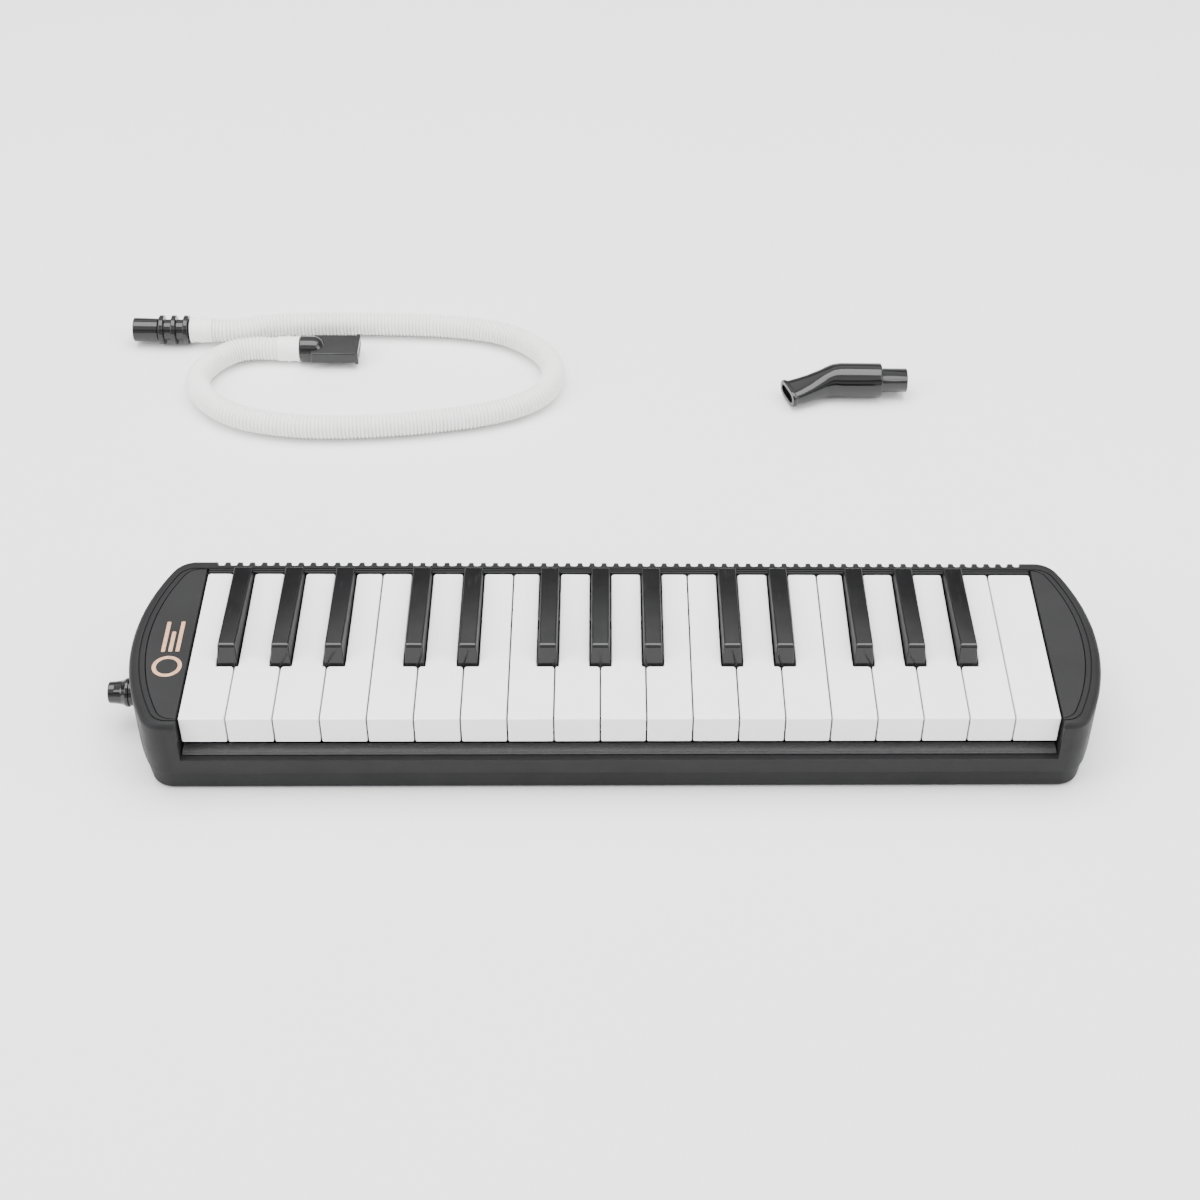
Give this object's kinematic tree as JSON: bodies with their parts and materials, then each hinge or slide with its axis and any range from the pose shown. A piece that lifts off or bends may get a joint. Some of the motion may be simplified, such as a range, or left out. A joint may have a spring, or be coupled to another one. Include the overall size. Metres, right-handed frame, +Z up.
{
  "type": "melodica",
  "caption": "Free-reed keyboard wind instrument with sprung piano keys, a side blow nipple, a bent push-on mouthpiece and a corrugated blowing hose.",
  "frame": {"origin": "on the underside of the casing, under the middle of the keyboard's width and near the middle of the casing's depth", "axes": "+X along the keyboard towards the high notes, +Y away from the player, +Z up"},
  "size_m": [0.4478, 0.3266, 0.0453],
  "materials": {
    "casing_plastic": "fine-grained charcoal ABS",
    "panel_plastic": "satin charcoal ABS",
    "white_key_plastic": "glossy white ABS",
    "black_key_plastic": "glossy black ABS",
    "chest_plastic": "plain grey moulding",
    "reed_brass": "rolled brass",
    "steel": "zinc-plated",
    "black_rubber": "soft matte",
    "stop_felt": "dense black felt",
    "black_gloss_plastic": "polished black ABS",
    "white_hose_plastic": "soft white polyethylene"
  },
  "bodies": {
    "casing": {"lower_casing": "casing_plastic", "upper_casing": "casing_plastic", "left_end_panel": "panel_plastic", "right_end_panel": "panel_plastic", "casing_screw_front_left": "steel", "casing_screw_back_left": "steel", "casing_screw_front_right": "steel", "casing_screw_back_right": "steel", "front_stop_felt": "stop_felt", "wind_chest": "chest_plastic", "wind_chest_gasket": "black_rubber", "wind_chest_cover": "chest_plastic", "reed_plate": "reed_brass", "reeds": "reed_brass", "pivot_brackets": "casing_plastic", "key_pivot_rod": "steel", "key_springs": "steel", "blow_nipple": "black_gloss_plastic", "nipple_seal": "black_rubber", "drain_spring": "steel", "drain_seal": "black_rubber"},
    "white_F3": {"white_key_F3": "white_key_plastic"},
    "black_Fs3": {"black_key_Fs3": "black_key_plastic"},
    "white_G3": {"white_key_G3": "white_key_plastic"},
    "black_Gs3": {"black_key_Gs3": "black_key_plastic"},
    "white_A3": {"white_key_A3": "white_key_plastic"},
    "black_As3": {"black_key_As3": "black_key_plastic"},
    "white_B3": {"white_key_B3": "white_key_plastic"},
    "white_C4": {"white_key_C4": "white_key_plastic"},
    "black_Cs4": {"black_key_Cs4": "black_key_plastic"},
    "white_D4": {"white_key_D4": "white_key_plastic"},
    "black_Ds4": {"black_key_Ds4": "black_key_plastic"},
    "white_E4": {"white_key_E4": "white_key_plastic"},
    "white_F4": {"white_key_F4": "white_key_plastic"},
    "black_Fs4": {"black_key_Fs4": "black_key_plastic"},
    "white_G4": {"white_key_G4": "white_key_plastic"},
    "black_Gs4": {"black_key_Gs4": "black_key_plastic"},
    "white_A4": {"white_key_A4": "white_key_plastic"},
    "black_As4": {"black_key_As4": "black_key_plastic"},
    "white_B4": {"white_key_B4": "white_key_plastic"},
    "white_C5": {"white_key_C5": "white_key_plastic"},
    "black_Cs5": {"black_key_Cs5": "black_key_plastic"},
    "white_D5": {"white_key_D5": "white_key_plastic"},
    "black_Ds5": {"black_key_Ds5": "black_key_plastic"},
    "white_E5": {"white_key_E5": "white_key_plastic"},
    "white_F5": {"white_key_F5": "white_key_plastic"},
    "black_Fs5": {"black_key_Fs5": "black_key_plastic"},
    "white_G5": {"white_key_G5": "white_key_plastic"},
    "black_Gs5": {"black_key_Gs5": "black_key_plastic"},
    "white_A5": {"white_key_A5": "white_key_plastic"},
    "black_As5": {"black_key_As5": "black_key_plastic"},
    "white_B5": {"white_key_B5": "white_key_plastic"},
    "white_C6": {"white_key_C6": "white_key_plastic"},
    "drain": {"drain_button": "black_gloss_plastic"},
    "mouthpiece": {"mouthpiece": "black_gloss_plastic"},
    "hose": {"hose_connector": "black_gloss_plastic", "hose_cuff_inlet": "white_hose_plastic", "hose_tube": "white_hose_plastic", "hose_cuff_mouth": "white_hose_plastic", "hose_mouth_tip": "black_gloss_plastic"}
  },
  "joints": [
    {"name": "white_key_F3_hinge", "type": "hinge", "parent": "casing", "child": "white_F3", "pos_m": [-0.1674, 0.024, 0.0262], "axis": [1, 0, 0], "range_deg": [0, 3.2], "stiffness_Nm_per_rad": 0.15, "springref_deg": -10.31, "deforming": ["key_springs"]},
    {"name": "black_key_Fs3_hinge", "type": "hinge", "parent": "casing", "child": "black_Fs3", "pos_m": [-0.1611, 0.024, 0.0262], "axis": [1, 0, 0], "range_deg": [0, 3.2], "stiffness_Nm_per_rad": 0.15, "springref_deg": -10.31, "deforming": ["key_springs"]},
    {"name": "white_key_G3_hinge", "type": "hinge", "parent": "casing", "child": "white_G3", "pos_m": [-0.1488, 0.024, 0.0262], "axis": [1, 0, 0], "range_deg": [0, 3.2], "stiffness_Nm_per_rad": 0.15, "springref_deg": -10.31, "deforming": ["key_springs"]},
    {"name": "black_key_Gs3_hinge", "type": "hinge", "parent": "casing", "child": "black_Gs3", "pos_m": [-0.1395, 0.024, 0.0262], "axis": [1, 0, 0], "range_deg": [0, 3.2], "stiffness_Nm_per_rad": 0.15, "springref_deg": -10.31, "deforming": ["key_springs"]},
    {"name": "white_key_A3_hinge", "type": "hinge", "parent": "casing", "child": "white_A3", "pos_m": [-0.1302, 0.024, 0.0262], "axis": [1, 0, 0], "range_deg": [0, 3.2], "stiffness_Nm_per_rad": 0.15, "springref_deg": -10.31, "deforming": ["key_springs"]},
    {"name": "black_key_As3_hinge", "type": "hinge", "parent": "casing", "child": "black_As3", "pos_m": [-0.1179, 0.024, 0.0262], "axis": [1, 0, 0], "range_deg": [0, 3.2], "stiffness_Nm_per_rad": 0.15, "springref_deg": -10.31, "deforming": ["key_springs"]},
    {"name": "white_key_B3_hinge", "type": "hinge", "parent": "casing", "child": "white_B3", "pos_m": [-0.1116, 0.024, 0.0262], "axis": [1, 0, 0], "range_deg": [0, 3.2], "stiffness_Nm_per_rad": 0.15, "springref_deg": -10.31, "deforming": ["key_springs"]},
    {"name": "white_key_C4_hinge", "type": "hinge", "parent": "casing", "child": "white_C4", "pos_m": [-0.093, 0.024, 0.0262], "axis": [1, 0, 0], "range_deg": [0, 3.2], "stiffness_Nm_per_rad": 0.15, "springref_deg": -10.31, "deforming": ["key_springs"]},
    {"name": "black_key_Cs4_hinge", "type": "hinge", "parent": "casing", "child": "black_Cs4", "pos_m": [-0.0853, 0.024, 0.0262], "axis": [1, 0, 0], "range_deg": [0, 3.2], "stiffness_Nm_per_rad": 0.15, "springref_deg": -10.31, "deforming": ["key_springs"]},
    {"name": "white_key_D4_hinge", "type": "hinge", "parent": "casing", "child": "white_D4", "pos_m": [-0.0744, 0.024, 0.0262], "axis": [1, 0, 0], "range_deg": [0, 3.2], "stiffness_Nm_per_rad": 0.15, "springref_deg": -10.31, "deforming": ["key_springs"]},
    {"name": "black_key_Ds4_hinge", "type": "hinge", "parent": "casing", "child": "black_Ds4", "pos_m": [-0.0635, 0.024, 0.0262], "axis": [1, 0, 0], "range_deg": [0, 3.2], "stiffness_Nm_per_rad": 0.15, "springref_deg": -10.31, "deforming": ["key_springs"]},
    {"name": "white_key_E4_hinge", "type": "hinge", "parent": "casing", "child": "white_E4", "pos_m": [-0.0558, 0.024, 0.0262], "axis": [1, 0, 0], "range_deg": [0, 3.2], "stiffness_Nm_per_rad": 0.15, "springref_deg": -10.31, "deforming": ["key_springs"]},
    {"name": "white_key_F4_hinge", "type": "hinge", "parent": "casing", "child": "white_F4", "pos_m": [-0.0372, 0.024, 0.0262], "axis": [1, 0, 0], "range_deg": [0, 3.2], "stiffness_Nm_per_rad": 0.15, "springref_deg": -10.31, "deforming": ["key_springs"]},
    {"name": "black_key_Fs4_hinge", "type": "hinge", "parent": "casing", "child": "black_Fs4", "pos_m": [-0.0309, 0.024, 0.0262], "axis": [1, 0, 0], "range_deg": [0, 3.2], "stiffness_Nm_per_rad": 0.15, "springref_deg": -10.31, "deforming": ["key_springs"]},
    {"name": "white_key_G4_hinge", "type": "hinge", "parent": "casing", "child": "white_G4", "pos_m": [-0.0186, 0.024, 0.0262], "axis": [1, 0, 0], "range_deg": [0, 3.2], "stiffness_Nm_per_rad": 0.15, "springref_deg": -10.31, "deforming": ["key_springs"]},
    {"name": "black_key_Gs4_hinge", "type": "hinge", "parent": "casing", "child": "black_Gs4", "pos_m": [-0.0093, 0.024, 0.0262], "axis": [1, 0, 0], "range_deg": [0, 3.2], "stiffness_Nm_per_rad": 0.15, "springref_deg": -10.31, "deforming": ["key_springs"]},
    {"name": "white_key_A4_hinge", "type": "hinge", "parent": "casing", "child": "white_A4", "pos_m": [0, 0.024, 0.0262], "axis": [1, 0, 0], "range_deg": [0, 3.2], "stiffness_Nm_per_rad": 0.15, "springref_deg": -10.31, "deforming": ["key_springs"]},
    {"name": "black_key_As4_hinge", "type": "hinge", "parent": "casing", "child": "black_As4", "pos_m": [0.0123, 0.024, 0.0262], "axis": [1, 0, 0], "range_deg": [0, 3.2], "stiffness_Nm_per_rad": 0.15, "springref_deg": -10.31, "deforming": ["key_springs"]},
    {"name": "white_key_B4_hinge", "type": "hinge", "parent": "casing", "child": "white_B4", "pos_m": [0.0186, 0.024, 0.0262], "axis": [1, 0, 0], "range_deg": [0, 3.2], "stiffness_Nm_per_rad": 0.15, "springref_deg": -10.31, "deforming": ["key_springs"]},
    {"name": "white_key_C5_hinge", "type": "hinge", "parent": "casing", "child": "white_C5", "pos_m": [0.0372, 0.024, 0.0262], "axis": [1, 0, 0], "range_deg": [0, 3.2], "stiffness_Nm_per_rad": 0.15, "springref_deg": -10.31, "deforming": ["key_springs"]},
    {"name": "black_key_Cs5_hinge", "type": "hinge", "parent": "casing", "child": "black_Cs5", "pos_m": [0.0449, 0.024, 0.0262], "axis": [1, 0, 0], "range_deg": [0, 3.2], "stiffness_Nm_per_rad": 0.15, "springref_deg": -10.31, "deforming": ["key_springs"]},
    {"name": "white_key_D5_hinge", "type": "hinge", "parent": "casing", "child": "white_D5", "pos_m": [0.0558, 0.024, 0.0262], "axis": [1, 0, 0], "range_deg": [0, 3.2], "stiffness_Nm_per_rad": 0.15, "springref_deg": -10.31, "deforming": ["key_springs"]},
    {"name": "black_key_Ds5_hinge", "type": "hinge", "parent": "casing", "child": "black_Ds5", "pos_m": [0.0667, 0.024, 0.0262], "axis": [1, 0, 0], "range_deg": [0, 3.2], "stiffness_Nm_per_rad": 0.15, "springref_deg": -10.31, "deforming": ["key_springs"]},
    {"name": "white_key_E5_hinge", "type": "hinge", "parent": "casing", "child": "white_E5", "pos_m": [0.0744, 0.024, 0.0262], "axis": [1, 0, 0], "range_deg": [0, 3.2], "stiffness_Nm_per_rad": 0.15, "springref_deg": -10.31, "deforming": ["key_springs"]},
    {"name": "white_key_F5_hinge", "type": "hinge", "parent": "casing", "child": "white_F5", "pos_m": [0.093, 0.024, 0.0262], "axis": [1, 0, 0], "range_deg": [0, 3.2], "stiffness_Nm_per_rad": 0.15, "springref_deg": -10.31, "deforming": ["key_springs"]},
    {"name": "black_key_Fs5_hinge", "type": "hinge", "parent": "casing", "child": "black_Fs5", "pos_m": [0.0993, 0.024, 0.0262], "axis": [1, 0, 0], "range_deg": [0, 3.2], "stiffness_Nm_per_rad": 0.15, "springref_deg": -10.31, "deforming": ["key_springs"]},
    {"name": "white_key_G5_hinge", "type": "hinge", "parent": "casing", "child": "white_G5", "pos_m": [0.1116, 0.024, 0.0262], "axis": [1, 0, 0], "range_deg": [0, 3.2], "stiffness_Nm_per_rad": 0.15, "springref_deg": -10.31, "deforming": ["key_springs"]},
    {"name": "black_key_Gs5_hinge", "type": "hinge", "parent": "casing", "child": "black_Gs5", "pos_m": [0.1209, 0.024, 0.0262], "axis": [1, 0, 0], "range_deg": [0, 3.2], "stiffness_Nm_per_rad": 0.15, "springref_deg": -10.31, "deforming": ["key_springs"]},
    {"name": "white_key_A5_hinge", "type": "hinge", "parent": "casing", "child": "white_A5", "pos_m": [0.1302, 0.024, 0.0262], "axis": [1, 0, 0], "range_deg": [0, 3.2], "stiffness_Nm_per_rad": 0.15, "springref_deg": -10.31, "deforming": ["key_springs"]},
    {"name": "black_key_As5_hinge", "type": "hinge", "parent": "casing", "child": "black_As5", "pos_m": [0.1425, 0.024, 0.0262], "axis": [1, 0, 0], "range_deg": [0, 3.2], "stiffness_Nm_per_rad": 0.15, "springref_deg": -10.31, "deforming": ["key_springs"]},
    {"name": "white_key_B5_hinge", "type": "hinge", "parent": "casing", "child": "white_B5", "pos_m": [0.1488, 0.024, 0.0262], "axis": [1, 0, 0], "range_deg": [0, 3.2], "stiffness_Nm_per_rad": 0.15, "springref_deg": -10.31, "deforming": ["key_springs"]},
    {"name": "white_key_C6_hinge", "type": "hinge", "parent": "casing", "child": "white_C6", "pos_m": [0.1674, 0.024, 0.0262], "axis": [1, 0, 0], "range_deg": [0, 3.2], "stiffness_Nm_per_rad": 0.15, "springref_deg": -10.31, "deforming": ["key_springs"]},
    {"name": "drain_button_slide", "type": "slide", "parent": "casing", "child": "drain", "axis": [-1, 0, 0], "range_m": [0, 0.0025], "stiffness_N_per_m": 60, "springref_m": -0.003, "deforming": ["drain_spring"]},
    {"name": "mouthpiece_lift", "type": "slide", "parent": "casing", "child": "mouthpiece", "axis": [0, 0, 1], "range_m": [0, 0.06]},
    {"name": "hose_lift", "type": "slide", "parent": "casing", "child": "hose", "axis": [0, 0, 1], "range_m": [0, 0.06]}
  ]
}
